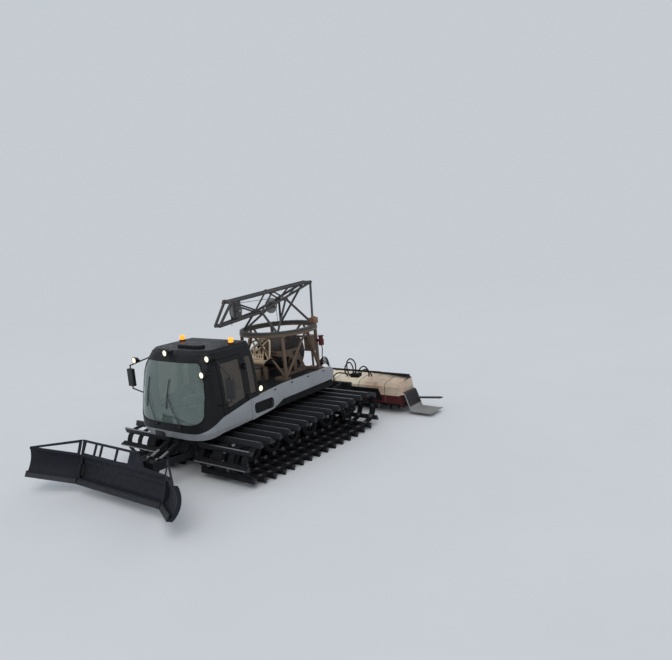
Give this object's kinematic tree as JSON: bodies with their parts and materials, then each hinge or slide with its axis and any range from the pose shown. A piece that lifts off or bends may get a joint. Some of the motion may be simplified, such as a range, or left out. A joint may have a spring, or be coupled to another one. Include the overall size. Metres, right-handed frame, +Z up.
{
  "type": "winch snow groomer",
  "caption": "Tracked snow groomer with a glazed cab, a folding front blade, a slewing cable winch and a rear tiller that makes smooth piste.",
  "frame": {"origin": "on the ground under the middle of the machine with its tools", "axes": "+X to the machine's left, +Y to its rear, +Z up; the blade is at -Y"},
  "size_m": [6.1, 9.1365, 3.7941],
  "materials": {
    "dark_frame": "satin dark paint on steel frames",
    "silver_panel": "satin silver-grey paint",
    "black_paint": "satin black paint on the cab frame and blade",
    "track_rubber": "dark rubber belts with steel crossbars",
    "tyre_rubber": "matt black tyre rubber",
    "rim_steel": "dark grey painted rims",
    "tinted_glass": "green-grey tinted glass",
    "seat_fabric": "dark woven seat cloth",
    "black_plastic": "black moulded plastic",
    "lamp_lens": "lit white lamp lenses in dark housings",
    "beacon_amber": "amber beacon lenses",
    "winch_steel": "dark brown-grey painted tubes",
    "bare_steel": "bright worn steel",
    "cable_steel": "stranded steel cable",
    "cream_paint": "worn cream paint on the tiller's hood",
    "flap_rubber": "dark rubber finisher comb",
    "flap_grey": "light grey side finishers",
    "engine_iron": "dark cast engine block"
  },
  "bodies": {
    "machine": {"chassis": "dark_frame", "engine_block": "engine_iron", "suspension": "dark_frame", "rims_left": "rim_steel", "rims_right": "rim_steel", "tyres_left": "tyre_rubber", "tyres_right": "tyre_rubber", "sprocket_left": "dark_frame", "sprocket_right": "dark_frame", "track_left": "track_rubber", "track_right": "track_rubber", "cab_shell": "black_paint", "windscreen": "tinted_glass", "cab_glass": "tinted_glass", "belt_front": "silver_panel", "side_panel_left": "silver_panel", "side_panel_right": "silver_panel", "vent_grilles": "black_plastic", "seats": "seat_fabric", "dashboard": "black_plastic", "mirrors": "black_plastic", "work_lamps": "lamp_lens", "beacons": "beacon_amber", "rear_body": "dark_frame", "exhaust": "bare_steel", "rear_rack": "winch_steel", "winch_frame": "winch_steel", "winch_tower": "winch_steel", "rope_guide": "winch_steel"},
    "door_left": {"door_left": "black_paint", "door_glass_left": "tinted_glass"},
    "door_right": {"door_right": "black_paint", "door_glass_right": "tinted_glass"},
    "winch_drum": {"winch_drum": "winch_steel"},
    "boom": {"boom_ring": "winch_steel", "boom": "winch_steel", "winch_cable": "cable_steel"},
    "head_sheave": {"head_sheave": "bare_steel"},
    "axis_sheave": {"axis_sheave": "bare_steel"},
    "lift_frame": {"lift_frame": "dark_frame"},
    "lift_barrels": {"lift_barrels": "black_paint"},
    "lift_rods": {"lift_rods": "bare_steel"},
    "blade_head": {"blade_head": "dark_frame"},
    "blade": {"blade_turret": "dark_frame", "blade_main": "black_paint"},
    "wing_left": {"blade_wing_left": "black_paint"},
    "wing_right": {"blade_wing_right": "black_paint"},
    "tiller": {"tiller_carrier": "dark_frame", "tiller_hood": "cream_paint", "finisher": "flap_rubber"},
    "tiller_barrels": {"tiller_barrels": "black_paint"},
    "tiller_rods": {"tiller_rods": "bare_steel"},
    "tiller_shaft": {"tiller_shaft": "rim_steel"},
    "flap_left": {"side_finisher_left": "flap_grey"},
    "flap_right": {"side_finisher_right": "flap_grey"}
  },
  "joints": [
    {"name": "door_left_hinge", "type": "hinge", "parent": "machine", "child": "door_left", "pos_m": [1.166, -1.126, 1.6], "axis": [0, 0, 1], "range_deg": [0, 80]},
    {"name": "door_right_hinge", "type": "hinge", "parent": "machine", "child": "door_right", "pos_m": [-1.166, -1.126, 1.6], "axis": [0, 0, -1], "range_deg": [0, 80]},
    {"name": "winch_drum_spin", "type": "hinge", "parent": "machine", "child": "winch_drum", "pos_m": [0, 1.3, 2.09], "axis": [1, 0, 0], "continuous": true},
    {"name": "boom_slew", "type": "hinge", "parent": "machine", "child": "boom", "pos_m": [0, 1.3, 2.7], "axis": [0, 0, 1], "continuous": true},
    {"name": "head_sheave_spin", "type": "hinge", "parent": "boom", "child": "head_sheave", "pos_m": [0, -0.12, 3.39], "axis": [1, 0, 0], "continuous": true},
    {"name": "axis_sheave_spin", "type": "hinge", "parent": "boom", "child": "axis_sheave", "pos_m": [0, 1.1237, 3.33], "axis": [1, 0, 0], "continuous": true},
    {"name": "blade_lift", "type": "hinge", "parent": "machine", "child": "lift_frame", "pos_m": [0, -2.32, 0.56], "axis": [-1, 0, 0], "range_deg": [-7, 22]},
    {"name": "lift_barrel_swing", "type": "hinge", "parent": "machine", "child": "lift_barrels", "pos_m": [0, -2.25, 0.9], "axis": [-1, 0, 0], "range_deg": [-6, 18]},
    {"name": "lift_rod_slide", "type": "slide", "parent": "lift_barrels", "child": "lift_rods", "axis": [0, -0.942, -0.3355], "range_m": [-0.125, 0.04]},
    {"name": "blade_swing", "type": "hinge", "parent": "lift_frame", "child": "blade_head", "pos_m": [0, -3.4, 0.6], "axis": [0, 0, 1], "range_deg": [-20, 20]},
    {"name": "blade_roll", "type": "hinge", "parent": "blade_head", "child": "blade", "pos_m": [0, -3.56, 0.6], "axis": [0, 1, 0], "range_deg": [-8, 8]},
    {"name": "wing_left_fold", "type": "hinge", "parent": "blade", "child": "wing_left", "pos_m": [1.44, -3.84571, 0.4881], "axis": [0, -0.342, -0.9397], "range_deg": [-32, 14]},
    {"name": "wing_right_fold", "type": "hinge", "parent": "blade", "child": "wing_right", "pos_m": [-1.44, -3.84571, 0.4881], "axis": [0, 0.342, 0.9397], "range_deg": [-32, 14]},
    {"name": "tiller_lift", "type": "hinge", "parent": "machine", "child": "tiller", "pos_m": [0, 2.56, 0.64], "axis": [1, 0, 0], "range_deg": [0, 28]},
    {"name": "tiller_barrel_swing", "type": "hinge", "parent": "machine", "child": "tiller_barrels", "pos_m": [0, 2.33, 1.09], "axis": [1, 0, 0], "range_deg": [0, 17]},
    {"name": "tiller_rod_slide", "type": "slide", "parent": "tiller_barrels", "child": "tiller_rods", "axis": [0, 0.9499, -0.3126], "range_m": [-0.195, 0]},
    {"name": "tiller_spin", "type": "hinge", "parent": "tiller", "child": "tiller_shaft", "pos_m": [0, 3.72, 0.25], "axis": [1, 0, 0], "continuous": true},
    {"name": "flap_left_fold", "type": "hinge", "parent": "tiller", "child": "flap_left", "pos_m": [2.19, 3.86, 0.56], "axis": [0, -1, 0], "range_deg": [-5, 100]},
    {"name": "flap_right_fold", "type": "hinge", "parent": "tiller", "child": "flap_right", "pos_m": [-2.19, 3.86, 0.56], "axis": [0, 1, 0], "range_deg": [-5, 100]}
  ],
  "couplings": [
    {"joint": "lift_barrel_swing", "follows": "blade_lift", "ratio": 0.8006},
    {"joint": "lift_rod_slide", "follows": "blade_lift", "m_per_rad": -0.3135},
    {"joint": "tiller_barrel_swing", "follows": "tiller_lift", "ratio": 0.583},
    {"joint": "tiller_rod_slide", "follows": "tiller_lift", "m_per_rad": -0.3931}
  ]
}
